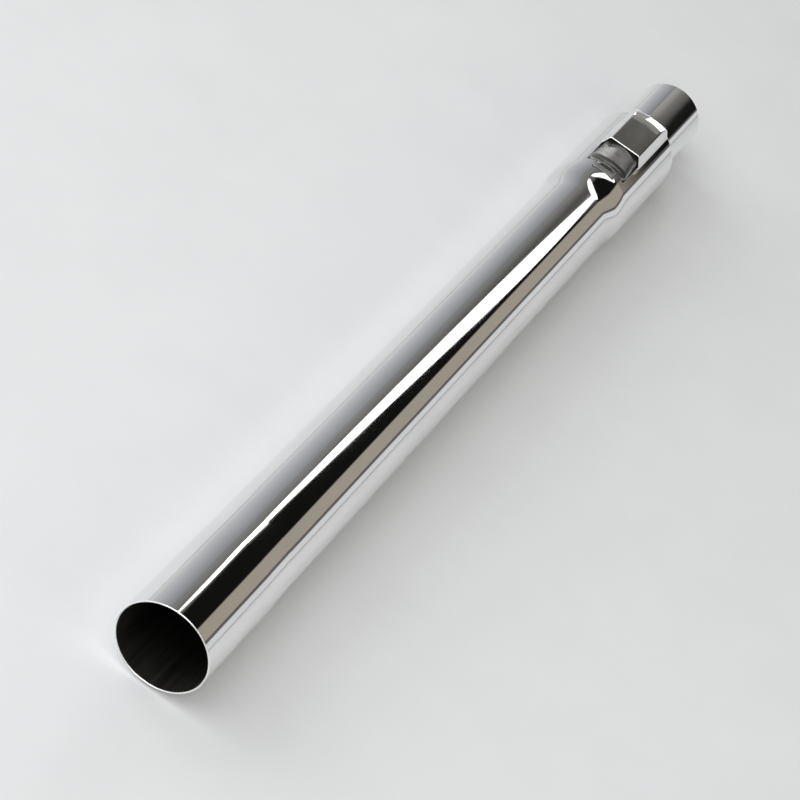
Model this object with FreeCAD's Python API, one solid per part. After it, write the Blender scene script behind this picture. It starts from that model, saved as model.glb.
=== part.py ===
import FreeCAD, Part
import math
import os

# Telescopic vacuum wand, pushed in and lying down. Millimetres and degrees.
# X runs along the tubes from the open mouth (X = 0) to the tool end, Z is up, the thumb slide is on top.
V = FreeCAD.Vector
AXIS = V(1, 0, 0)
CENTRE = V(0, 0, 0)

# Outer tube: plain tube, sized mouth, widened end with a rolled-in lip, dressed weld seam below
TUBE_DIAMETER = 35.0
SHEET = 0.6
SOCKET_DEPTH = 45.0
SOCKET_GROWTH = 0.25
SIZING_TAPER = 14.0
PLAIN_LENGTH = 283.8
SHOULDER_LENGTH = 18.7
SHOULDER_RISE = 1.7
SLEEVE_LENGTH = 58.5
LIP_RADIUS = 2.0
LIP_GAP = 0.6
SEAM_WIDTH = 3.6
SEAM_RELIEF = 0.05
SEAM_SETBACK = 1.0

# Hood pressed into the top of the widened end, and the window for the thumb slide in front of it
ROOF_RISE = 2.2
ROOF_HALF_WIDTH = 7.55
BOSS_DRAFT = 25.0
BOSS_ROOT = 7.0
ROOF_EDGE_RADIUS = 1.3
FOOT_RADIUS = 2.2
FOOT_SINK = 0.05
HOOD_LENGTH = 36.5
ROOF_FALL_LENGTH = 10.0
ROOF_FALL = 1.6
FALL_SHARES = (0.0, 0.4, 0.7)
FALL_CROWN = 10.0
WINDOW_LEAD = 1.5
QUARTER_ANGLES = (0, 20, 40, 60, 75, 85)

# Inner tube, with its sized spigot, guide groove and row of notches
TUBE_GAP = 0.9
INNER_SHEET = 0.6
SPIGOT_LENGTH = 39.0
SPIGOT_SHRINK = 0.2
SPIGOT_TAPER = 2.0
REACH = 42.0
GROOVE_WIDTH = 8.0
GROOVE_DEPTH = 1.1
GROOVE_END_COVER = 2.0
NOTCH_PITCH = 24.0
NOTCH_COUNT = 13
NOTCH_END_COVER = 8.0

# Lock: roller, thumb slide and return spring
ROLLER_DIAMETER = 4.0
ROLLER_LENGTH = 7.2
ROLLER_SINK = 1.4
ROLLER_SETBACK = 3.0
ROLLER_PLAY = 0.15
NOTCH_PLAY = 0.3
KEY_TRAVEL = 5.0
KEY_PLAY = 0.3
PAD_FRONT_GAP = 6.0
PAD_FRONT_DROP = 0.7
PAD_CROWN = 24.0
PAD_EDGE_RADIUS = 1.2
PAD_FRONT_ROUND = 0.5
PAD_CORNER_RADIUS = 2.2
PAD_TAPER_LENGTH = 9.0
SKIRT_INSET = 4.25
SKIRT_DROP = 0.9
SKIRT_HOLLOW = 0.3
SKIRT_RISE = 0.4
SKIRT_GAP = 0.4
TAIL_LENGTH = 18.5
SPRING_DIAMETER = 3.0
SPRING_WIRE = 0.45
SPRING_TURNS = 6.0
SPRING_HOLE_DEPTH = 4.0
SPRING_PLAY = 0.2
SPRING_PIN_LENGTH = 2.5

# Guide sleeve in the widened end, and the bush and seal on the hidden end of the inner tube
GUIDE_PLAY = 0.12
GUIDE_SEAT = 0.05
GUIDE_OFFSET = 1.0
GUIDE_FLOOR = 0.7
BLOCK_LENGTH = 4.0
BLOCK_SETBACK = 1.0
BLOCK_HALF_WIDTH = 5.0
RIB_PLAY = 0.25
RIB_SETBACK = 3.0
BUSH_LENGTH = 22.5
BUSH_PLAY = 0.2
BUSH_SEAT = 0.05
BUSH_HOOK = 1.0
STOP_GAP = 0.5
NUB_DIAMETER = 4.0
SEAL_WIDTH = 4.0
SEAL_DEPTH = 0.4
SEAL_OFFSET = 7.0
SEAL_PLAY = 0.1

# How far a cutting shape runs past the face it cuts
PAST = 1.0

# Sizes that follow from the ones above
TUBE_R = TUBE_DIAMETER / 2
SLEEVE_R = TUBE_R + SHOULDER_RISE
INNER_R = TUBE_R - SHEET - TUBE_GAP
ROLLER_R = ROLLER_DIAMETER / 2
ROOF_HEIGHT = SLEEVE_R + ROOF_RISE
BOSS_BASE = TUBE_R - BOSS_ROOT
GROOVE_FLOOR = INNER_R - GROOVE_DEPTH
GUIDE_FLAT = INNER_R + GUIDE_FLOOR
PLAIN_START = SOCKET_DEPTH + SIZING_TAPER
SHOULDER_START = PLAIN_START + PLAIN_LENGTH
SLEEVE_START = SHOULDER_START + SHOULDER_LENGTH
SLEEVE_END = SLEEVE_START + SLEEVE_LENGTH
HOOD_START = SLEEVE_END - HOOD_LENGTH
WINDOW_START = SLEEVE_START - WINDOW_LEAD
WAND_END = SLEEVE_END + REACH
SPIGOT_START = WAND_END - SPIGOT_LENGTH
GUIDE_START = SLEEVE_START + GUIDE_OFFSET
GUIDE_END = SLEEVE_END - LIP_RADIUS - GUIDE_SEAT
BLOCK_END = GUIDE_END - BLOCK_SETBACK
BLOCK_START = BLOCK_END - BLOCK_LENGTH
STROKE = NOTCH_PITCH * (NOTCH_COUNT - 1)
BUSH_END = GUIDE_START - STOP_GAP - STROKE
BUSH_START = BUSH_END - BUSH_LENGTH
INNER_START = BUSH_START + BUSH_HOOK
BUSH_R = TUBE_R - SHEET - BUSH_PLAY
ROLLER_X = HOOD_START - ROLLER_SETBACK
NOTCH_R = ROLLER_R + NOTCH_PLAY
ROLLER_Z = GROOVE_FLOOR + ROLLER_R - ROLLER_SINK
ROLLER_LIFT = ROLLER_SINK + ROLLER_PLAY
GROOVE_START = ROLLER_X - STROKE - NOTCH_END_COVER
GROOVE_END = SLEEVE_END - GROOVE_END_COVER
KEY_FLOOR = GUIDE_FLAT + KEY_PLAY
KEY_TOP = ROOF_HEIGHT - SHEET - KEY_PLAY
KEY_INSET = SHEET + KEY_PLAY
PAD_FRONT = WINDOW_START + PAD_FRONT_GAP
TAIL_END = HOOD_START + TAIL_LENGTH
SPRING_Z = (KEY_FLOOR + KEY_TOP) / 2
DRAFT = math.radians(BOSS_DRAFT)
SIDE_NORMAL = (math.cos(DRAFT), math.sin(DRAFT))
BOSS_SIDE = ROOF_HALF_WIDTH * SIDE_NORMAL[0] + ROOF_HEIGHT * SIDE_NORMAL[1]
PAD_HALF_WIDTH = (BOSS_SIDE - KEY_PLAY - KEY_FLOOR * SIDE_NORMAL[1]) / SIDE_NORMAL[0]
WINDOW_HALF_WIDTH = PAD_HALF_WIDTH + KEY_PLAY
SKIRT_HALF_WIDTH = PAD_HALF_WIDTH - SKIRT_INSET


def line(a, b):
    return Part.makeLine(a, b)


def arc(a, middle, b):
    return Part.Arc(a, middle, b).toShape()


def chain(points):
    """Straight edges through the points in turn."""
    return [line(a, b) for a, b in zip(points, points[1:])]


def at(x, r):
    """A point of a turned profile."""
    return V(x, 0, r)


def turned(edges):
    """The solid turned about the wand's axis from a closed profile."""
    return Part.Face(Part.Wire(edges)).revolve(CENTRE, AXIS, 360)


def cylinder(radius, start, end):
    return Part.makeCylinder(radius, end - start, V(start, 0, 0), AXIS)


def ring(inner, outer, start, end):
    return cylinder(outer, start, end).cut(cylinder(inner, start - PAST, end + PAST))


def block(start, end, half_width, low, high):
    return Part.makeBox(end - start, 2 * half_width, high - low, V(start, -half_width, low))


def cross_bar(radius, x, z, half_width):
    """A round bar that lies across the wand."""
    return Part.makeCylinder(radius, 2 * half_width, V(x, -half_width, z), V(0, 1, 0))


def shoulder(low, high):
    """Two equal arcs that carry the tube's surface up to the sleeve's."""
    rise = high - low
    radius = (SHOULDER_LENGTH ** 2 + rise ** 2) / (4 * rise)
    half = math.atan(rise / SHOULDER_LENGTH)
    along = radius * math.sin(half)
    up = radius * (1 - math.cos(half))
    start = at(SHOULDER_START, low)
    middle = at(SHOULDER_START + SHOULDER_LENGTH / 2, (low + high) / 2)
    end = at(SLEEVE_START, high)
    first = arc(start, at(SHOULDER_START + along, low + up), middle)
    second = arc(middle, at(SLEEVE_START - along, high - up), end)
    return [first, second]


def skin(depth):
    """Solid inside the outer tube's surface, at a depth below the outside."""
    mouth = -depth * PAST
    tube = TUBE_R - depth
    socket = tube + SOCKET_GROWTH
    sleeve = SLEEVE_R - depth
    lip = LIP_RADIUS - depth
    turn = SLEEVE_END - LIP_RADIUS
    diagonal = math.sqrt(0.5) * lip
    lip_top = at(turn, sleeve)
    lip_middle = at(turn + diagonal, sleeve - lip + diagonal)
    lip_end = at(turn + lip, sleeve - lip)
    edges = chain([at(mouth, 0), at(mouth, socket), at(SOCKET_DEPTH, socket),
                   at(PLAIN_START, tube), at(SHOULDER_START, tube)])
    edges += shoulder(tube, sleeve)
    edges.append(line(at(SLEEVE_START, sleeve), lip_top))
    edges.append(arc(lip_top, lip_middle, lip_end))
    edges += chain([lip_end, at(turn + lip, 0), at(mouth, 0)])
    return turned(edges)


def side_point(side, z):
    """Half-width of a drafted side plane at a height."""
    return (side - z * SIDE_NORMAL[1]) / SIDE_NORMAL[0]


def mirrored(points):
    return [V(p.x, -p.y, p.z) for p in points]


def saddle_section(x, top, side, radius, crown, low, foot):
    """Closed section across the wand: drafted sides, rounded edges and a flat or crowned top.

    foot is None, or the radius of the surface that the sides flare into.
    """
    slope = math.radians(crown)
    reach = side - radius

    def corner(z):
        return (reach - z * SIDE_NORMAL[1]) / SIDE_NORMAL[0]

    centre_z = top - radius
    for _ in range(6):
        half = corner(centre_z) + radius * math.sin(slope)
        centre_z = top - radius * math.cos(slope) - half * math.tan(slope / 2)
    centre_y = corner(centre_z)

    def rim(angle):
        return V(x, centre_y + radius * math.cos(angle), centre_z + radius * math.sin(angle))

    upper = rim(math.pi / 2 - slope)
    middle = rim((math.pi / 2 - slope + DRAFT) / 2)
    lower = rim(DRAFT)
    left_upper, left_middle, left_lower = mirrored([upper, middle, lower])
    if crown > 0:
        roof = arc(upper, V(x, 0, top), left_upper)
    else:
        roof = line(upper, left_upper)
    edges = [arc(lower, middle, upper), roof, arc(left_upper, left_middle, left_lower)]
    if foot is None:
        base = V(x, side_point(side, low), low)
        left_base = mirrored([base])[0]
        edges += chain([left_lower, left_base, base, lower])
    else:
        flare, toe, toe_middle = foot_points(x, side, foot)
        base = V(x, toe.y, low)
        left_flare, left_toe, left_toe_middle, left_base = mirrored([flare, toe, toe_middle, base])
        edges.append(line(left_lower, left_flare))
        edges.append(arc(left_flare, left_toe_middle, left_toe))
        edges += chain([left_toe, left_base, base, toe])
        edges.append(arc(toe, toe_middle, flare))
        edges.append(line(flare, lower))
    return Part.Wire(Part.__sortEdges__(edges))


def foot_points(x, side, surface):
    """Ends and middle of the hollow fillet between a drafted side and a round surface."""
    away = side + FOOT_RADIUS
    along = math.sqrt((surface + FOOT_RADIUS) ** 2 - away ** 2)
    across, up = SIDE_NORMAL
    centre = V(x, away * across - along * up, away * up + along * across)
    to_side = V(0, -across, -up)
    to_surface = V(0, -centre.y, -centre.z).normalize()
    to_middle = (to_side + to_surface).normalize()
    return [centre + d * FOOT_RADIUS for d in (to_side, to_surface, to_middle)]


def quarter_steps():
    """Angles round a quarter turn, fine enough for a rounded edge."""
    return [math.radians(a) for a in QUARTER_ANGLES]


def roof_at(x):
    """Height of the hood's outside, which falls away gently to the rear."""
    fall_start = SLEEVE_END - ROOF_FALL_LENGTH
    share = max(0.0, (x - fall_start) / ROOF_FALL_LENGTH)
    return ROOF_HEIGHT - ROOF_FALL * share ** 2


def crown_at(x):
    """Slope at the edges of the hood's roof, which is flat at first and rounds over to the rear."""
    fall_start = SLEEVE_END - ROOF_FALL_LENGTH
    return FALL_CROWN * max(0.0, (x - fall_start) / ROOF_FALL_LENGTH)


def hood(depth):
    """Hood block at a depth below its outside, rounded in at the rear like the lip."""
    lip = LIP_RADIUS - depth
    turn = SLEEVE_END - LIP_RADIUS
    fall_start = SLEEVE_END - ROOF_FALL_LENGTH
    stations = [(HOOD_START - PAST * (depth > 0), 0.0)]
    stations += [(fall_start + (turn - fall_start) * share, 0.0) for share in FALL_SHARES]
    stations += [(turn + lip * math.sin(a), lip * (1 - math.cos(a))) for a in quarter_steps()]
    wires = []
    for x, inset in stations:
        foot = None if depth > 0 else SLEEVE_R - inset - FOOT_SINK
        wires.append(saddle_section(x, roof_at(x) - depth - inset, BOSS_SIDE - depth - inset,
                                    ROOF_EDGE_RADIUS - depth, crown_at(x), BOSS_BASE, foot))
    return Part.makeLoft(wires, True, True)


def seam_cuts():
    """Thin cuts along the underside that leave the flat of the dressed weld seam.

    The shoulder is dressed a little deeper, so the wand lies on the straight front edge of the sleeve's flat.
    """
    half = SEAM_WIDTH / 2
    sleeve_flat = SLEEVE_START + SEAM_SETBACK
    runs = [(-PAST, PLAIN_START, TUBE_R + SOCKET_GROWTH, 0.0),
            (PLAIN_START, SHOULDER_START, TUBE_R, 0.0),
            (SHOULDER_START, sleeve_flat, SLEEVE_R, SEAM_RELIEF),
            (sleeve_flat, SLEEVE_END + PAST, SLEEVE_R, 0.0)]
    return [block(start, end, SEAM_WIDTH, -radius - PAST, relief - math.sqrt(radius ** 2 - half ** 2))
            for start, end, radius, relief in runs]


def outer_tube():
    outside = skin(0).fuse(hood(0))
    inside = skin(SHEET).fuse(hood(SHEET))
    lip_hole = cylinder(INNER_R + LIP_GAP, SLEEVE_END - LIP_RADIUS, SLEEVE_END + PAST)
    neck_window = block(WINDOW_START, PAD_FRONT, SKIRT_HALF_WIDTH + KEY_PLAY, 0, ROOF_HEIGHT + PAST)
    pad_window = block(PAD_FRONT - KEY_PLAY, HOOD_START, WINDOW_HALF_WIDTH, 0, ROOF_HEIGHT + PAST)
    return outside.cut(inside).cut(lip_hole).cut(neck_window.fuse(pad_window)).cut(seam_cuts())


def spigot_profile(radius, start, end):
    """Solid of the inner tube's surface: plain, then slightly smaller at the spigot."""
    small = radius - SPIGOT_SHRINK
    points = [at(start, 0), at(start, radius), at(SPIGOT_START - SPIGOT_TAPER, radius),
              at(SPIGOT_START, small), at(end, small), at(end, 0), at(start, 0)]
    return turned(chain(points))


def notch_places():
    return [ROLLER_X - NOTCH_PITCH * i for i in range(NOTCH_COUNT)]


def inner_tube():
    half = GROOVE_WIDTH / 2
    hull = spigot_profile(INNER_R, INNER_START, WAND_END)
    bore = spigot_profile(INNER_R - INNER_SHEET, INNER_START - PAST, WAND_END + PAST)
    press = block(GROOVE_START - INNER_SHEET, GROOVE_END + INNER_SHEET, half + INNER_SHEET,
                  GROOVE_FLOOR - INNER_SHEET, INNER_R)
    groove = block(GROOVE_START, GROOVE_END, half, GROOVE_FLOOR, INNER_R + PAST)
    dents = [cross_bar(NOTCH_R + INNER_SHEET, x, ROLLER_Z, half + INNER_SHEET) for x in notch_places()]
    notches = [cross_bar(NOTCH_R, x, ROLLER_Z, half) for x in notch_places()]
    backing = press.fuse(dents).common(cylinder(INNER_R - INNER_SHEET / 2, INNER_START, WAND_END))
    tube = hull.cut(bore).fuse(backing).cut(groove).cut(notches)
    return tube.cut(nubs(NUB_DIAMETER / 2 + BUSH_SEAT, INNER_R + PAST))


def nubs(radius, outer):
    """The bush's two catches, one on each side, out to a radius."""
    x = (INNER_START + BUSH_END) / 2
    inner = INNER_R - INNER_SHEET
    first = Part.makeCylinder(radius, outer - inner, V(x, inner, 0), V(0, 1, 0))
    second = Part.makeCylinder(radius, outer - inner, V(x, -inner, 0), V(0, -1, 0))
    return first.fuse(second)


def end_bush():
    seat = INNER_R + BUSH_SEAT
    body = ring(seat, BUSH_R, BUSH_START, BUSH_END)
    hook = ring(INNER_R - INNER_SHEET, BUSH_R, BUSH_START, INNER_START - BUSH_SEAT)
    seal_start = BUSH_START + SEAL_OFFSET
    channel = ring(BUSH_R - SEAL_DEPTH, BUSH_R + PAST, seal_start, seal_start + SEAL_WIDTH)
    return body.fuse(hook).fuse(nubs(NUB_DIAMETER / 2, BUSH_R - SEAL_DEPTH)).cut(channel)


def seal_ring():
    start = BUSH_START + SEAL_OFFSET
    return ring(BUSH_R - SEAL_DEPTH, TUBE_R - SHEET - SEAL_PLAY, start, start + SEAL_WIDTH)


def guide_sleeve():
    outside = SLEEVE_R - SHEET - GUIDE_SEAT
    bore = INNER_R + GUIDE_PLAY
    sleeve = ring(bore, outside, GUIDE_START, GUIDE_END)
    flat = block(GUIDE_START - PAST, BLOCK_START, outside, GUIDE_FLAT, ROOF_HEIGHT)
    block_top = roof_at(BLOCK_END) - SHEET - KEY_PLAY
    seat = block(BLOCK_START, BLOCK_END, BLOCK_HALF_WIDTH, GUIDE_FLAT, block_top)
    pin = Part.makeCylinder(SPRING_DIAMETER / 2 - SPRING_WIRE - SPRING_PLAY, SPRING_PIN_LENGTH,
                            V(BLOCK_START - SPRING_PIN_LENGTH, 0, SPRING_Z), AXIS)
    rib = block(ROLLER_X, GUIDE_END - RIB_SETBACK, GROOVE_WIDTH / 2 - RIB_PLAY,
                GROOVE_FLOOR + RIB_PLAY, GUIDE_FLAT)
    reach = ROLLER_R + ROLLER_PLAY
    window = block(ROLLER_X - reach, ROLLER_X + reach, ROLLER_LENGTH / 2 + ROLLER_PLAY, 0, ROOF_HEIGHT)
    return sleeve.cut(flat).fuse(rib).fuse(seat).fuse(pin).cut(window)


def lock_roller():
    return cross_bar(ROLLER_R, ROLLER_X, ROLLER_Z, ROLLER_LENGTH / 2)


def pad_stations():
    """Places along the thumb slide with its height and inset from the hood's outside."""
    taper_start = HOOD_START - KEY_TRAVEL - PAD_TAPER_LENGTH
    stations = []
    for angle in reversed(quarter_steps()):
        cut_back = PAD_CORNER_RADIUS * (1 - math.sin(angle))
        drop = PAD_FRONT_ROUND * (1 - math.cos(angle))
        narrowing = PAD_CORNER_RADIUS * (1 - math.cos(angle)) * SIDE_NORMAL[0]
        stations.append((PAD_FRONT + cut_back, KEY_TOP - PAD_FRONT_DROP - drop, KEY_PLAY + narrowing))
    stations.append((taper_start, KEY_TOP, KEY_PLAY))
    stations.append((HOOD_START - KEY_TRAVEL, KEY_TOP, KEY_INSET))
    stations.append((TAIL_END, KEY_TOP, KEY_INSET))
    return stations


def roller_pocket():
    """Slanted slot under the slide: it holds the roller down at rest and lifts it when pushed."""
    radius = ROLLER_R + ROLLER_PLAY
    half = ROLLER_LENGTH / 2 + ROLLER_PLAY
    start = (ROLLER_X, ROLLER_Z)
    end = (ROLLER_X - KEY_TRAVEL, ROLLER_Z + ROLLER_LIFT)
    angle = math.atan2(ROLLER_LIFT, KEY_TRAVEL)
    side_x = radius * math.sin(angle)
    side_z = radius * math.cos(angle)
    corners = [V(px, -half, pz) for px, pz in ((start[0] + side_x, start[1] + side_z),
                                               (end[0] + side_x, end[1] + side_z),
                                               (end[0] - side_x, end[1] - side_z),
                                               (start[0] - side_x, start[1] - side_z))]
    middle = Part.Face(Part.makePolygon(corners + corners[:1])).extrude(V(0, 2 * half, 0))
    return cross_bar(radius, *start, half).fuse(middle).fuse(cross_bar(radius, *end, half))


def skirt():
    """Low hollow neck of the thumb slide in front of the pad, rounded across like the sleeve."""
    front = WINDOW_START + SKIRT_GAP
    top = KEY_TOP - PAD_FRONT_DROP
    low = top - SKIRT_DROP
    back = PAD_FRONT + PAD_CORNER_RADIUS

    def lip(x, z):
        return V(x, -SKIRT_HALF_WIDTH, z)

    start = lip(front, low)
    end = lip(PAD_FRONT, low + SKIRT_RISE)
    edges = [arc(start, lip((front + PAD_FRONT) / 2, low - SKIRT_HOLLOW), end)]
    edges += chain([end, lip(back, low + SKIRT_RISE), lip(back, KEY_FLOOR), lip(front, KEY_FLOOR), start])
    neck = Part.Face(Part.Wire(edges)).extrude(V(0, 2 * SKIRT_HALF_WIDTH, 0))
    return neck.common(cylinder(SLEEVE_R, front - PAST, back + PAST))


def lock_button():
    wires = [saddle_section(x, top, BOSS_SIDE - inset, PAD_EDGE_RADIUS, PAD_CROWN, KEY_FLOOR, None)
             for x, top, inset in pad_stations()]
    body = Part.makeLoft(wires, True, True).fuse(skirt())
    hole = Part.makeCylinder(SPRING_DIAMETER / 2 + SPRING_PLAY, SPRING_HOLE_DEPTH + PAST,
                             V(TAIL_END - SPRING_HOLE_DEPTH, 0, SPRING_Z), AXIS)
    return body.cut(roller_pocket()).cut(hole)


def return_spring():
    start = TAIL_END - SPRING_HOLE_DEPTH + SPRING_WIRE / 2
    length = BLOCK_START - start - SPRING_WIRE / 2
    radius = (SPRING_DIAMETER - SPRING_WIRE) / 2
    path = Part.makeHelix(length / SPRING_TURNS, length, radius)
    section = Part.Wire(Part.makeCircle(SPRING_WIRE / 2, V(radius, 0, 0), V(0, 1, 0)))
    coil = Part.Wire(path.Edges).makePipeShell([section], True, True)
    coil.rotate(CENTRE, V(0, 1, 0), 90)
    coil.translate(V(start, 0, SPRING_Z))
    return coil


def main():
    os.makedirs("parts", exist_ok=True)
    pieces = {
        "outer_tube": outer_tube(),
        "inner_tube": inner_tube(),
        "guide_sleeve": guide_sleeve(),
        "lock_button": lock_button(),
        "lock_roller": lock_roller(),
        "return_spring": return_spring(),
        "end_bush": end_bush(),
        "seal_ring": seal_ring(),
    }
    for name, shape in pieces.items():
        solid = shape.removeSplitter() if name != "return_spring" else shape
        print(name, len(solid.Solids), solid.isValid(), round(solid.Volume, 1))
        solid.exportStep("parts/" + name + ".step")


main()
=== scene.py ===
import math

import bpy
from mathutils import Matrix, Vector


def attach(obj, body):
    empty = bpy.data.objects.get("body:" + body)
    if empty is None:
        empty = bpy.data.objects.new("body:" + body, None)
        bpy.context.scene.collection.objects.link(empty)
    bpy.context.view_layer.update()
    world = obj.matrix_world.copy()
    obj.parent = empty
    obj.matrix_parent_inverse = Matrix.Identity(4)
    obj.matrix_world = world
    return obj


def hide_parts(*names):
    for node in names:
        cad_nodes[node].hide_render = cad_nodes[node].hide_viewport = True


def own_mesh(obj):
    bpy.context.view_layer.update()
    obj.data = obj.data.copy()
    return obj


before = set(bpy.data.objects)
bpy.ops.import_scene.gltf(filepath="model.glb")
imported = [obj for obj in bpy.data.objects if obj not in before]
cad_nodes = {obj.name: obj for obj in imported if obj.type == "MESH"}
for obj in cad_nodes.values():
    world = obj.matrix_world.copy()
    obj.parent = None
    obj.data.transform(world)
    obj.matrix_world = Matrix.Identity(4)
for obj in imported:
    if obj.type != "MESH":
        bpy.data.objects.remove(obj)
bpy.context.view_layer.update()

# Telescopic vacuum wand. Sizes are in millimetres, as in the CAD model: X runs from the open mouth to
# the tool end, Z is up through the thumb slide. Angles round the tubes are counted from the top.
MM = 0.001

# Outer tube
TUBE_R = 17.5
SHEET = 0.6
SOCKET_DEPTH = 45.0
SOCKET_GROWTH = 0.25
SIZING_TAPER = 14.0
SHOULDER_START = 342.8
SHOULDER_LENGTH = 18.7
SLEEVE_R = 19.2
SLEEVE_END = 420.0
LIP_RADIUS = 2.0
LIP_HOLE_R = 16.6
SEAM_WIDTH = 3.6
SEAM_RELIEF = 0.05
SEAM_SETBACK = 1.0

# Hood and window
ROOF_HEIGHT = 21.4
ROOF_HALF_WIDTH = 7.55
BOSS_DRAFT = math.radians(25.0)
BOSS_REACH = math.radians(60.0)
EDGE_BLEND = 1.1
FOOT_BLEND = 0.8
HOOD_START = 383.5
ROOF_FALL_LENGTH = 10.0
ROOF_FALL = 1.6
FALL_CROWN = math.radians(10.0)
WINDOW_START = 360.0
PAD_WINDOW_START = 365.7
WINDOW_HALF_WIDTH = 9.57
CURB_FADE = 7.0

# Inner tube
INNER_R = 16.0
INNER_SHEET = 0.6
INNER_START = 52.5
WAND_END = 462.0
SPIGOT_START = 423.0
SPIGOT_SHRINK = 0.2
SPIGOT_TAPER = 2.0
GROOVE_START = 84.5
GROOVE_END = 418.0
GROOVE_HALF_WIDTH = 4.0
GROOVE_DEPTH = 1.1
GROOVE_WALL = 0.5
GROOVE_RUN_OUT = 1.0
GROOVE_RAMP = 1.2
GROOVE_MARGIN = 2.0
NOTCH_PITCH = 24.0
NOTCH_COUNT = 13
ROLLER_X = 380.5
ROLLER_Z = 15.5
NOTCH_R = 2.3
NOTCH_BLEND = 0.3

# Return spring between the thumb slide and the block at the tool end
SPRING_START = 398.0
SPRING_END = 412.95
SPRING_Z = 18.75
SPRING_R = 1.275
SPRING_WIRE_R = 0.225
SPRING_TURNS = 6

# Broken edges of cut sheet metal, and the angle from which an edge is shaded sharp
EDGE_BREAK = 0.2
SHARP_ANGLE = math.radians(32)

# The seam lies below, and the groove above, where the cosine of the angle from straight down or up is larger
SECTOR_COSINE = 0.9

# Mesh columns, in half across the window's pad and neck, beside the window, and round the rest of the tube
PAD_COLUMNS = 52
NECK_COLUMNS = 28
FLANK_COLUMNS = 14
OUTER_ROUND_COLUMNS = 120

# Mesh columns of the inner tube, in half across the groove, and round the rest
GROOVE_STEP = math.radians(0.75)
GROOVE_COLUMNS = 26
INNER_ROUND_COLUMNS = 100

# Mesh rows: next to a cut end, next to a bend, and where evenly spaced rows begin
RIM_ROW = 0.6
BEND_ROW = 1.0
OUTER_ROWS_START = 80.0
INNER_ROWS_START = 57.5
LIP_BENDS = [math.radians(degrees) for degrees in range(0, 91, 5)]
LIP_SHARES = (0.5, 0.9, 1.0)
NOTCH_ROWS = (0.8, 1.5, 1.9, 2.15, 2.3, 2.6, 3.2)
SPIGOT_ROWS = (-3, -2, -1, 0, 1)
SHOULDER_LEAD = 2.0

# Mesh steps of the spring in a turn, and sides of its wire
SPRING_STEPS = 28
WIRE_SIDES = 10

PLAIN_START = SOCKET_DEPTH + SIZING_TAPER
SLEEVE_START = SHOULDER_START + SHOULDER_LENGTH
ROOF_FALL_START = SLEEVE_END - ROOF_FALL_LENGTH
LIP_START = SLEEVE_END - LIP_RADIUS
BOSS_SIDE = ROOF_HALF_WIDTH * math.cos(BOSS_DRAFT) + ROOF_HEIGHT * math.sin(BOSS_DRAFT)

# Noise levels at which a mottled colour reaches its dark and its light tone
TONE_LOW = 0.3
TONE_HIGH = 0.7

# Dark and light tones of the materials
PLATING = ((0.86, 0.86, 0.86), (0.91, 0.91, 0.905))
# Inside of the tubes: tones darker than bare steel, painted shade inside the tubes
BARE_INSIDE_PAINTED_SHADE = ((0.085, 0.083, 0.076), (0.125, 0.122, 0.112))
# Cut edges: near-white tones, brighter than ground steel, partly a painted highlight along the edges
GROUND_EDGE_PAINTED_HIGHLIGHT = ((0.93, 0.93, 0.93), (0.97, 0.97, 0.965))
PLAIN_STEEL = ((0.42, 0.41, 0.40), (0.58, 0.57, 0.55))
SATIN_GREY = ((0.21, 0.207, 0.2), (0.25, 0.247, 0.238))
BLACK = ((0.012, 0.012, 0.012), (0.022, 0.022, 0.022))
RUBBER = ((0.02, 0.02, 0.02), (0.04, 0.04, 0.04))
PAPER = ((0.78, 0.79, 0.80), (0.80, 0.81, 0.82))

# Floor under the seam's flat
FLOOR_Z = -math.sqrt(SLEEVE_R ** 2 - (SEAM_WIDTH / 2) ** 2)
FLOOR_X = 400.0
FLOOR_REACH = 4000.0

# Walls and ceiling, by their angle from the top: the right is negative, and levels are of grey
PALE = (0.66, 0.67, 0.68)
DARK = (0.006, 0.006, 0.005)
GREY = (0.085, 0.083, 0.077)
BEIGE = (0.355, 0.32, 0.265)
LINE = (0.11, 0.10, 0.10)
LEFT_GREY = (0.2, 0.198, 0.19)
RIGHT_SKY = [(-90, PALE), (-78, PALE), (-75, LINE), (-71, LINE)]
LEFT_SKY = [(36, (0.23, 0.23, 0.23)), (39, (0.27, 0.28, 0.30)), (75, (0.5, 0.51, 0.53)), (90, PALE)]
END_GREYS = [(-69, 0.008), (-36, 0.01), (-14, 0.12), (2, 0.18), (18, 0.31), (28, 0.345)]
GREY_TINT = (1.0, 0.985, 0.93)

# Where the ceiling turns dark along the lamp, where the right wall ends and where the wall ahead begins
LAMP_SIDE = (0.719, 0.695, -0.866)
LAMP_SIDE_SPAN = (-0.01, 0.01)
FAR_SPAN = (0.842, 0.851)
END_SPAN = (0.8575, 0.8605)

# Sockets of a Mix node that mixes colours
MIX_FACTOR, MIX_FIRST, MIX_SECOND = 0, 6, 7
MIX_RESULT = 2

# Camera: the photograph's place, aim and roll
EYE = Vector((-582.6, -105.9, 606.35))
LOOK = Vector((0.77679, 0.10741, -0.62053))
IMAGE_UP = Vector((0.4574, 0.58108, 0.67316))
LENS = 116.97
SENSOR = 36.0


def smooth_min(a, b, blend):
    near = max(blend - abs(a - b), 0.0) / blend
    return min(a, b) - near * near * blend / 4


def smooth_max(a, b, blend):
    return -smooth_min(-a, -b, blend)


def smooth_step(value):
    share = min(max(value, 0.0), 1.0)
    return share * share * (3 - 2 * share)


def steps(start, end, count):
    """Evenly spaced values from start up to, but not at, end."""
    return [start + (end - start) * i / count for i in range(count)]


# Surfaces of the outer tube, in polar form round the axis


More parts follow.
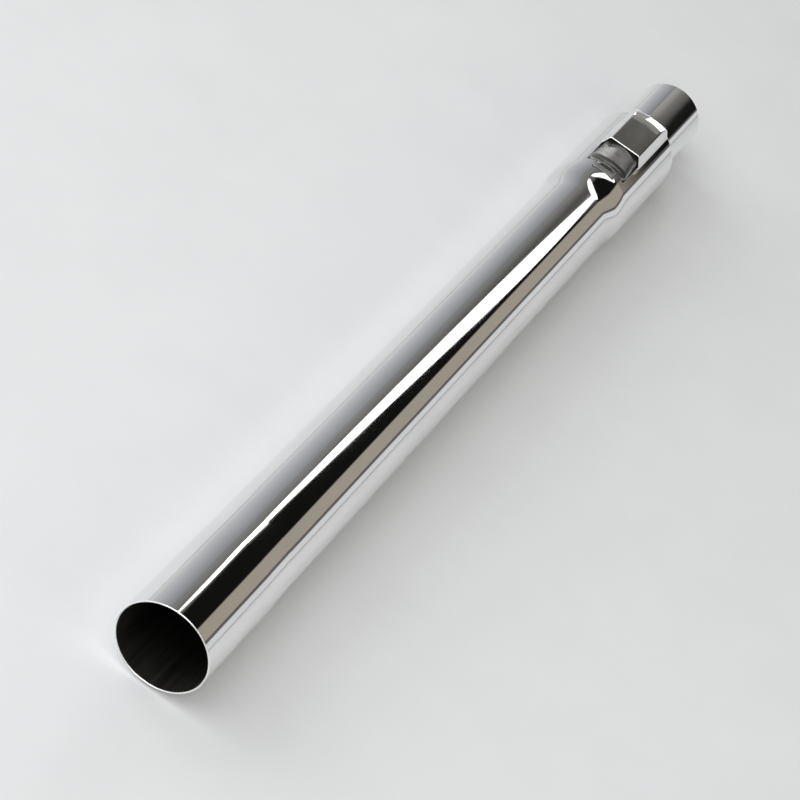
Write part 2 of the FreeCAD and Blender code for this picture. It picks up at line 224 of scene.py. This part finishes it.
def turned_radius(x):
    """Radius of the plain turned surface: socket, taper, plain run, shoulder of two arcs, sleeve."""
    if x <= SOCKET_DEPTH:
        return TUBE_R + SOCKET_GROWTH
    if x < PLAIN_START:
        return TUBE_R + SOCKET_GROWTH * (1 - (x - SOCKET_DEPTH) / SIZING_TAPER)
    if x <= SHOULDER_START:
        return TUBE_R
    if x >= SLEEVE_START:
        return SLEEVE_R
    rise = SLEEVE_R - TUBE_R
    bend = (SHOULDER_LENGTH ** 2 + rise ** 2) / (4 * rise)
    if x < SHOULDER_START + SHOULDER_LENGTH / 2:
        return TUBE_R + bend - math.sqrt(bend ** 2 - (x - SHOULDER_START) ** 2)
    return SLEEVE_R - bend + math.sqrt(bend ** 2 - (SLEEVE_START - x) ** 2)


def boss_radius(angle, top, crown, side):
    """Radius of a boss with a flat or crowned top, drafted sides and rounded edges."""
    a = abs(angle)
    if a > BOSS_REACH:
        return 0.0
    flank = side / (math.cos(BOSS_DRAFT) * math.sin(a) + math.sin(BOSS_DRAFT) * math.cos(a))
    across = top * math.tan(a)
    sag = across ** 2 / ROOF_HALF_WIDTH * math.tan(crown / 2)
    return smooth_min((top - sag) / math.cos(a), flank, EDGE_BLEND)


def fall_share(x):
    """How far the roof has come on its fall towards the tool end, from 0 to 1."""
    return max(0.0, (x - ROOF_FALL_START) / ROOF_FALL_LENGTH)


def seam_depth(radius):
    """Distance from the axis to the flat that leaves the seam its width on a round surface."""
    return math.sqrt(radius ** 2 - (SEAM_WIDTH / 2) ** 2)


def seam_cut(angle, x, radius):
    """The dressed weld seam is a narrow flat along the underside, a little deeper on the shoulder."""
    down = -math.cos(angle)
    if down < SECTOR_COSINE:
        return radius
    if x <= PLAIN_START:
        flat = seam_depth(TUBE_R + SOCKET_GROWTH)
    elif x <= SHOULDER_START:
        flat = seam_depth(TUBE_R)
    elif x <= SLEEVE_START + SEAM_SETBACK:
        flat = seam_depth(SLEEVE_R) - SEAM_RELIEF
    else:
        flat = seam_depth(SLEEVE_R)
    return min(radius, flat / down)


def tube_surface(angle, x, inset=0.0):
    """Radius of the outer tube's outside, with the hood and the curbs that fade out beside the window."""
    base = turned_radius(x) - inset
    if x >= HOOD_START:
        roof = ROOF_HEIGHT - ROOF_FALL * fall_share(x) ** 2
        boss = boss_radius(angle, roof - inset, FALL_CROWN * fall_share(x), BOSS_SIDE - inset)
        radius = smooth_max(base, boss, FOOT_BLEND)
    elif x > HOOD_START - CURB_FADE:
        foot = smooth_max(base, boss_radius(angle, ROOF_HEIGHT, 0.0, BOSS_SIDE), FOOT_BLEND) - base
        radius = base + foot * (1 - smooth_step((HOOD_START - x) / CURB_FADE))
    else:
        radius = base
    return seam_cut(angle, x, radius)


def inner_surface(angle, x):
    """Radius of the inner tube's outside: spigot, pressed groove and row of notches."""
    radius = INNER_R - SPIGOT_SHRINK * smooth_step((x - SPIGOT_START + SPIGOT_TAPER) / SPIGOT_TAPER)
    in_groove = GROOVE_START - GROOVE_MARGIN < x < GROOVE_END + GROOVE_MARGIN
    if math.cos(angle) < SECTOR_COSINE or not in_groove:
        return radius
    across = abs(radius * math.sin(angle))
    wall = smooth_step((GROOVE_HALF_WIDTH + GROOVE_WALL - across) / (2 * GROOVE_WALL))
    start = smooth_step((x - GROOVE_START + GROOVE_RUN_OUT) / GROOVE_RAMP)
    end = smooth_step((GROOVE_END + GROOVE_RUN_OUT - x) / GROOVE_RAMP)
    bottom = INNER_R - GROOVE_DEPTH
    notch = round((ROLLER_X - x) / NOTCH_PITCH)
    along = ROLLER_X - x - notch * NOTCH_PITCH
    if 0 <= notch < NOTCH_COUNT and abs(along) < NOTCH_R:
        bottom = smooth_min(bottom, ROLLER_Z - math.sqrt(NOTCH_R ** 2 - along ** 2), NOTCH_BLEND)
    pressed = bottom / math.cos(angle)
    return radius - (radius - min(radius, pressed)) * wall * start * end


# Meshes


def new_object(name, points, faces):
    mesh = bpy.data.meshes.new(name)
    mesh.from_pydata([p * MM for p in points], [], faces)
    mesh.validate()
    mesh.shade_smooth()
    mesh.set_sharp_from_angle(angle=SHARP_ANGLE)
    obj = bpy.data.objects.new(name, mesh)
    bpy.context.scene.collection.objects.link(obj)
    return obj


def sheet_mesh(name, outer, inner, open_cell):
    """Closed thin-walled mesh from two grids of points, rows along X and columns all round.

    open_cell(row, column) is true where the sheet is cut away. Cut edges are broken.
    The inside takes the second material and the cut edges the third.
    """
    rows = len(outer)
    columns = len(outer[0])
    out_id = {}
    in_id = {}
    points = []
    for i in range(rows):
        for j in range(columns):
            out_id[i, j] = len(points)
            points.append(outer[i][j].copy())
            in_id[i, j] = len(points)
            points.append(inner[i][j].copy())
    cells = [(i, j) for i in range(rows - 1) for j in range(columns) if not open_cell(i, j)]
    edge_use = {}
    faces = []
    for i, j in cells:
        k = (j + 1) % columns
        loop = [(i, j), (i + 1, j), (i + 1, k), (i, k)]
        faces.append([out_id[c] for c in loop])
        faces.append([in_id[c] for c in reversed(loop)])
        for a, b in zip(loop, loop[1:] + loop[:1]):
            edge_use.setdefault(frozenset((a, b)), []).append((a, b, loop))
    border = [uses[0] for uses in edge_use.values() if len(uses) == 1]
    pull = {}
    for a, b, loop in border:
        middle = sum((outer[c[0]][c[1]] for c in loop), Vector()) / len(loop)
        start = outer[a[0]][a[1]]
        along = (outer[b[0]][b[1]] - start).normalized()
        away = middle - start
        away -= along * away.dot(along)
        for c in (a, b):
            pull[c] = pull.get(c, Vector()) + away.normalized()
    lip_out = {}
    lip_in = {}
    for c, direction in pull.items():
        o = outer[c[0]][c[1]]
        n = inner[c[0]][c[1]]
        across = (n - o).normalized() * EDGE_BREAK
        back = direction.normalized() * EDGE_BREAK
        points[out_id[c]] = o + back
        points[in_id[c]] = n + back
        lip_out[c] = len(points)
        points.append(o + across)
        lip_in[c] = len(points)
        points.append(n - across)
    for a, b, _ in border:
        faces.append([out_id[b], out_id[a], lip_out[a], lip_out[b]])
        faces.append([lip_out[b], lip_out[a], lip_in[a], lip_in[b]])
        faces.append([lip_in[b], lip_in[a], in_id[a], in_id[b]])
    keep = sorted({v for f in faces for v in f})
    place = {v: n for n, v in enumerate(keep)}
    obj = new_object(name, [points[v] for v in keep], [[place[v] for v in f] for f in faces])
    for n in range(len(cells)):
        obj.data.polygons[2 * n + 1].material_index = 1
    for n in range(2 * len(cells), len(faces)):
        obj.data.polygons[n].material_index = 2
    return obj


def round_angles(fine, half, coarse):
    """Angles of columns all round: fine steps on each side of the top, coarse ones for the rest."""
    angles = [fine * i for i in range(-half, half + 1)]
    rest = 2 * math.pi - 2 * fine * half
    return angles + [fine * half + rest * i / coarse for i in range(1, coarse)]


def ring(x, angles, radii):
    """Row of points at one place along the wand."""
    return [Vector((x, r * math.sin(a), r * math.cos(a))) for a, r in zip(angles, radii)]


def wall_rows(places, angles, surface, sheet):
    """Rows of points on the outside and the inside of a tube's wall."""
    rows_out = []
    rows_in = []
    for x in places:
        radii = [surface(a, x) for a in angles]
        rows_out.append(ring(x, angles, radii))
        rows_in.append(ring(x, angles, [r - sheet for r in radii]))
    return rows_out, rows_in


def lip_rows(angles):
    """Rows of the rounded edge at the wide end, and of the flat lip that closes in on the inner tube."""
    inner_bend = LIP_RADIUS - SHEET
    rows_out = []
    rows_in = []
    for bend in LIP_BENDS:
        x_out = LIP_START + LIP_RADIUS * math.sin(bend)
        x_in = LIP_START + inner_bend * math.sin(bend)
        drop = LIP_RADIUS * (1 - math.cos(bend))
        inner_drop = SHEET + inner_bend * (1 - math.cos(bend))
        edge_out = [tube_surface(a, x_out, drop) for a in angles]
        edge_in = [tube_surface(a, x_out) - inner_drop for a in angles]
        rows_out.append(ring(x_out, angles, edge_out))
        rows_in.append(ring(x_in, angles, edge_in))
    for share in LIP_SHARES:
        rows_out.append(ring(x_out, angles, [r + (LIP_HOLE_R - r) * share for r in edge_out]))
        rows_in.append(ring(x_in, angles, [r + (LIP_HOLE_R - r) * share for r in edge_in]))
    return rows_out, rows_in


def outer_tube():
    """Outer tube with its mouth, shoulder, hood, window and turned-in lip."""
    fine = math.asin(WINDOW_HALF_WIDTH / SLEEVE_R) / PAD_COLUMNS
    half = PAD_COLUMNS + FLANK_COLUMNS
    angles = round_angles(fine, half, OUTER_ROUND_COLUMNS)
    places = [0.0, RIM_ROW, SOCKET_DEPTH - BEND_ROW, SOCKET_DEPTH, PLAIN_START, PLAIN_START + BEND_ROW]
    spans = [
        (OUTER_ROWS_START, SHOULDER_START - SHOULDER_LEAD, 6),
        (SHOULDER_START - SHOULDER_LEAD, WINDOW_START, 36),
        (WINDOW_START, PAD_WINDOW_START, 10),
        (PAD_WINDOW_START, HOOD_START, 20),
        (HOOD_START, HOOD_START + BEND_ROW, 3),
        (HOOD_START + BEND_ROW, ROOF_FALL_START, 8),
        (ROOF_FALL_START, LIP_START, 16),
    ]
    for start, end, count in spans:
        places += steps(start, end, count)
    rows_out, rows_in = wall_rows(places, angles, tube_surface, SHEET)
    lip_out, lip_in = lip_rows(angles)
    rows_out += lip_out
    rows_in += lip_in
    xs = [row[0].x for row in rows_out]

    def in_window(i, j):
        middle = (xs[i] + xs[i + 1]) / 2
        reach = NECK_COLUMNS if middle < PAD_WINDOW_START else PAD_COLUMNS
        return WINDOW_START < middle < HOOD_START and half - reach <= j < half + reach

    return sheet_mesh("outer_tube_skin", rows_out, rows_in, in_window)


def inner_tube():
    """Inner tube with its spigot, and the groove and notches for the lock."""
    angles = round_angles(GROOVE_STEP, GROOVE_COLUMNS, INNER_ROUND_COLUMNS)
    groove_first = GROOVE_START - GROOVE_MARGIN
    groove_last = GROOVE_END + GROOVE_MARGIN
    places = [INNER_START, INNER_START + RIM_ROW]
    places += steps(INNER_ROWS_START, groove_first, 3)
    places += steps(groove_first, GROOVE_START + BEND_ROW, 8)
    offsets = [-d for d in reversed(NOTCH_ROWS)] + [0.0] + list(NOTCH_ROWS)
    for i in reversed(range(NOTCH_COUNT)):
        places += [ROLLER_X - NOTCH_PITCH * i + d for d in offsets]
    places += steps(GROOVE_END - BEND_ROW, groove_last, 8) + [groove_last]
    places += [SPIGOT_START + d for d in SPIGOT_ROWS] + [WAND_END - BEND_ROW, WAND_END]
    rows_out, rows_in = wall_rows(places, angles, inner_surface, INNER_SHEET)
    return sheet_mesh("inner_tube_skin", rows_out, rows_in, lambda i, j: False)


def return_spring():
    """Coil of round wire, closed by a flat face at each end."""
    first = SPRING_START + SPRING_WIRE_R
    advance = (SPRING_END - SPRING_START - 2 * SPRING_WIRE_R) / (2 * math.pi * SPRING_TURNS)
    count = SPRING_STEPS * SPRING_TURNS + 1
    points = []
    for i in range(count):
        turn = 2 * math.pi * i / SPRING_STEPS
        outward = Vector((0, math.sin(turn), -math.cos(turn)))
        along = Vector((advance, SPRING_R * math.cos(turn), SPRING_R * math.sin(turn))).normalized()
        across = along.cross(outward)
        centre = Vector((first + advance * turn, 0, SPRING_Z)) + outward * SPRING_R
        for j in range(WIRE_SIDES):
            bend = 2 * math.pi * j / WIRE_SIDES
            points.append(centre + (outward * math.cos(bend) + across * math.sin(bend)) * SPRING_WIRE_R)
    faces = [list(reversed(range(WIRE_SIDES))), list(range((count - 1) * WIRE_SIDES, count * WIRE_SIDES))]
    for i in range(count - 1):
        here = i * WIRE_SIDES
        ahead = here + WIRE_SIDES
        for j in range(WIRE_SIDES):
            k = (j + 1) % WIRE_SIDES
            faces.append([here + j, here + k, ahead + k, ahead + j])
    return new_object("return_spring_coil", points, faces)


# Materials


def material(name, metallic):
    mat = bpy.data.materials.new(name)
    mat.use_nodes = True
    nodes = mat.node_tree.nodes
    shader = nodes["Principled BSDF"]
    shader.inputs["Metallic"].default_value = metallic
    return mat, nodes, mat.node_tree.links, shader


def noise(nodes, links, stretch, scale, detail):
    """Noise in the object's own coordinates, stretched."""
    place = nodes.new("ShaderNodeTexCoord")
    mapping = nodes.new("ShaderNodeMapping")
    mapping.inputs["Scale"].default_value = stretch
    links.new(place.outputs["Object"], mapping.inputs["Vector"])
    texture = nodes.new("ShaderNodeTexNoise")
    texture.inputs["Scale"].default_value = scale
    texture.inputs["Detail"].default_value = detail
    links.new(mapping.outputs["Vector"], texture.inputs["Vector"])
    return texture.outputs["Fac"]


def remap(nodes, links, value, from_range, to_range):
    node = nodes.new("ShaderNodeMapRange")
    node.inputs["From Min"].default_value, node.inputs["From Max"].default_value = from_range
    node.inputs["To Min"].default_value, node.inputs["To Max"].default_value = to_range
    links.new(value, node.inputs["Value"])
    return node.outputs["Result"]


def ramp(nodes, links, value, stops):
    node = nodes.new("ShaderNodeValToRGB")
    elements = node.color_ramp.elements
    while len(elements) < len(stops):
        elements.new(0.5)
    for element, (place, colour) in zip(elements, stops):
        element.position = place
        element.color = (*colour, 1.0)
    links.new(value, node.inputs["Fac"])
    return node.outputs["Color"]


def two_tone(nodes, links, value, tones):
    dark, light = tones
    return ramp(nodes, links, value, [(TONE_LOW, dark), (TONE_HIGH, light)])


def bump(nodes, links, height, strength, distance):
    node = nodes.new("ShaderNodeBump")
    node.inputs["Strength"].default_value = strength
    node.inputs["Distance"].default_value = distance
    links.new(height, node.inputs["Height"])
    return node.outputs["Normal"]


def chrome(name):
    """Bright plating with faint smudges and fine draw marks along the tube."""
    mat, nodes, links, shader = material(name, 1.0)
    smudge = noise(nodes, links, stretch=(12, 40, 40), scale=3.0, detail=4.0)
    marks = noise(nodes, links, stretch=(20, 900, 900), scale=4.0, detail=2.0)
    rough = remap(nodes, links, smudge, from_range=(0.35, 0.75), to_range=(0.03, 0.07))
    links.new(two_tone(nodes, links, smudge, PLATING), shader.inputs["Base Color"])
    links.new(rough, shader.inputs["Roughness"])
    links.new(bump(nodes, links, marks, strength=0.02, distance=0.00002), shader.inputs["Normal"])
    return mat


def metal(name, tones, rough, stretch, detail):
    """Unplated metal with marks that lie along the least stretched way."""
    mat, nodes, links, shader = material(name, 1.0)
    marks = noise(nodes, links, stretch, scale=3.0, detail=detail)
    links.new(two_tone(nodes, links, marks, tones), shader.inputs["Base Color"])
    links.new(remap(nodes, links, marks, (TONE_LOW, TONE_HIGH), rough), shader.inputs["Roughness"])
    return mat


def steel(name):
    """Plain ground steel with fine rings of grinding marks."""
    return metal(name, PLAIN_STEEL, rough=(0.22, 0.38), stretch=(40, 3000, 40), detail=3.0)


def bare_inside_painted_shade(name):
    """Unplated inside of a tube: dull, with faint drawing marks along it, and darker than bare steel: its
    colour is painted shade inside the tube.
    """
    return metal(name, BARE_INSIDE_PAINTED_SHADE, rough=(0.42, 0.55), stretch=(8, 400, 400), detail=3.0)


def ground_edge_painted_highlight(name):
    """Cut and ground edge of a tube: satin, with fine marks, and a near-white colour, brighter than ground
    steel, that is partly a painted highlight along the edge.
    """
    return metal(name, GROUND_EDGE_PAINTED_HIGHLIGHT, rough=(0.36, 0.46), stretch=(900, 900, 900), detail=2.0)


def plastic(name, tones, rough, grain, metallic=0.0):
    """Moulded plastic with a faint mottle and a fine grained surface, metallic where it is plated."""
    mat, nodes, links, shader = material(name, metallic)
    mottle = noise(nodes, links, stretch=(60, 60, 60), scale=4.0, detail=4.0)
    texture = noise(nodes, links, stretch=(1, 1, 1), scale=2600.0, detail=2.0)
    links.new(two_tone(nodes, links, mottle, tones), shader.inputs["Base Color"])
    links.new(remap(nodes, links, mottle, (TONE_LOW, TONE_HIGH), rough), shader.inputs["Roughness"])
    links.new(bump(nodes, links, texture, grain, distance=0.00005), shader.inputs["Normal"])
    return mat


def paint(obj, *materials):
    """Give a piece its materials, in place of the one that a piece of the CAD model comes with."""
    if len(obj.data.materials):
        obj.data.materials.clear()
    for mat in materials:
        obj.data.materials.append(mat)


# The object

outer = outer_tube()
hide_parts("outer_tube")
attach(outer, "outer")
paint(outer, chrome("outer_chrome"), bare_inside_painted_shade("outer_inside_painted_shade"), ground_edge_painted_highlight("outer_edge_painted_highlight"))

inner = inner_tube()
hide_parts("inner_tube")
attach(inner, "inner")
paint(inner, chrome("inner_chrome"), bare_inside_painted_shade("inner_inside_painted_shade"), ground_edge_painted_highlight("inner_edge_painted_highlight"))

spring = return_spring()
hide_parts("return_spring")
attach(spring, "outer")
paint(spring, steel("spring_steel"))
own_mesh(spring)

paint(cad_nodes["lock_button"],
      plastic("button_plastic", SATIN_GREY, rough=(0.26, 0.3), grain=0.02, metallic=0.9))
paint(cad_nodes["guide_sleeve"], plastic("guide_plastic", BLACK, rough=(0.45, 0.6), grain=0.2))
paint(cad_nodes["end_bush"], plastic("bush_plastic", BLACK, rough=(0.45, 0.6), grain=0.2))
paint(cad_nodes["seal_ring"], plastic("seal_rubber", RUBBER, rough=(0.7, 0.85), grain=0.3))
paint(cad_nodes["lock_roller"], steel("roller_steel"))

# Stage


def paper_floor():
    """Plain pale floor that the wand lies on."""
    sides = ((-1, -1), (1, -1), (1, 1), (-1, 1))
    corners = [Vector((FLOOR_X + i * FLOOR_REACH, j * FLOOR_REACH, FLOOR_Z)) for i, j in sides]
    obj = new_object("floor", corners, [[0, 1, 2, 3]])
    mat, nodes, links, shader = material("floor_paper", 0.0)
    speckle = noise(nodes, links, stretch=(1, 1, 1), scale=30.0, detail=3.0)
    links.new(two_tone(nodes, links, speckle, PAPER), shader.inputs["Base Color"])
    shader.inputs["Roughness"].default_value = 0.6
    shader.inputs["Specular IOR Level"].default_value = 0.2
    paint(obj, mat)
    return obj


def soft_box(name, centre, target, size, radiance, shape="RECTANGLE", turn=0.0):
    """Area lamp of a given brightness in reflections, in watts a square metre a steradian."""
    lamp = bpy.data.lights.new(name, "AREA")
    lamp.shape = shape
    lamp.size, lamp.size_y = (s * MM for s in size)
    filled = math.pi / 4 if shape == "ELLIPSE" else 1.0
    lamp.energy = radiance * math.pi * lamp.size * lamp.size_y * filled
    obj = bpy.data.objects.new(name, lamp)
    bpy.context.scene.collection.objects.link(obj)
    aim = (Vector(target) - Vector(centre)).to_track_quat("-Z", "Y").to_matrix().to_4x4()
    spin = Matrix.Rotation(math.radians(turn), 4, "Z")
    obj.matrix_world = Matrix.Translation(Vector(centre) * MM) @ aim @ spin


def sky_bands(places):
    """Stops all round the wand, from the colours over its top between the right and the left side."""
    return [(0.5 + degrees / 180, colour) for degrees, colour in RIGHT_SKY + places + LEFT_SKY]


def ceiling_bands(middle, right_wall):
    return sky_bands([(-69, right_wall), (-40, right_wall), (-37, middle), (6, middle), (9, GREY),
                      (28, LEFT_GREY)])


def end_bands():
    """The wall ahead, which the tool end shows: brighter towards the left."""
    return sky_bands([(degrees, tuple(level * t for t in GREY_TINT)) for degrees, level in END_GREYS])


def studio_world():
    """Walls and ceiling, as the plating shows them: by the angle round the wand and the way ahead."""
    world = bpy.data.worlds.new("studio")
    bpy.context.scene.world = world
    world.use_nodes = True
    nodes = world.node_tree.nodes
    links = world.node_tree.links
    direction = nodes.new("ShaderNodeTexCoord").outputs["Generated"]
    split = nodes.new("ShaderNodeSeparateXYZ")
    links.new(direction, split.inputs["Vector"])
    angle = nodes.new("ShaderNodeMath")
    angle.operation = "ARCTAN2"
    links.new(split.outputs["Y"], angle.inputs[0])
    links.new(split.outputs["Z"], angle.inputs[1])
    share = remap(nodes, links, angle.outputs["Value"], (-math.pi / 2, math.pi / 2), (0.0, 1.0))
    side = nodes.new("ShaderNodeVectorMath")
    side.operation = "DOT_PRODUCT"
    side.inputs[1].default_value = LAMP_SIDE
    links.new(direction, side.inputs[0])
    lit_side = remap(nodes, links, side.outputs["Value"], LAMP_SIDE_SPAN, (0.0, 1.0))
    far = remap(nodes, links, split.outputs["X"], FAR_SPAN, (0.0, 1.0))
    end = remap(nodes, links, split.outputs["X"], END_SPAN, (0.0, 1.0))

    def mix(factor, first, second):
        node = nodes.new("ShaderNodeMix")
        node.data_type = "RGBA"
        for output, socket in ((factor, MIX_FACTOR), (first, MIX_FIRST), (second, MIX_SECOND)):
            links.new(output, node.inputs[socket])
        return node.outputs[MIX_RESULT]

    def ceiling(right_wall):
        """Grey on the left of the lamp, and dark beyond it."""
        dark = ramp(nodes, links, share, ceiling_bands(DARK, right_wall))
        lit = ramp(nodes, links, share, ceiling_bands(GREY, right_wall))
        return mix(lit_side, dark, lit)

    sky = mix(far, ceiling(BEIGE), ceiling(DARK))
    sky = mix(end, sky, ramp(nodes, links, share, end_bands()))
    links.new(sky, nodes["Background"].inputs["Color"])


def photo_camera():
    camera = bpy.data.cameras.new("camera")
    camera.lens = LENS
    camera.sensor_width = SENSOR
    obj = bpy.data.objects.new("camera", camera)
    bpy.context.scene.collection.objects.link(obj)
    right = LOOK.cross(IMAGE_UP).normalized()
    up = right.cross(LOOK).normalized()
    aim = Matrix((right, up, -LOOK)).transposed().to_4x4()
    obj.matrix_world = Matrix.Translation(EYE * MM) @ aim
    return obj


floor = paper_floor()

soft_box("strip", centre=(2279, -174, 1500), target=(2279, -174, 0), size=(1880, 472), radiance=1.5,
         shape="ELLIPSE", turn=-49.6)
soft_box("strip_end", centre=(4240, 1070, 4000), target=(30, 0, 0), size=(560, 340), radiance=1.5)
soft_box("front_window", centre=(3000, -110, 530), target=(300, 0, 0), size=(775, 950), radiance=1.5)
soft_box("left_box", centre=(200, 1700, 900), target=(200, 0, 0), size=(1800, 1400), radiance=2.2)
soft_box("left_front", centre=(3319, 886, 906), target=(370, 0, 0), size=(760, 350), radiance=12.0,
         turn=-45.0)
soft_box("right_box", centre=(-300, -1700, 1100), target=(200, 0, 0), size=(1400, 1000), radiance=1.4)
soft_box("overhead", centre=(-800, 250, 1500), target=(200, 0, 0), size=(1900, 1500), radiance=2.6)

studio_world()
bpy.context.scene.camera = photo_camera()
bpy.context.scene.view_settings.view_transform = "Standard"
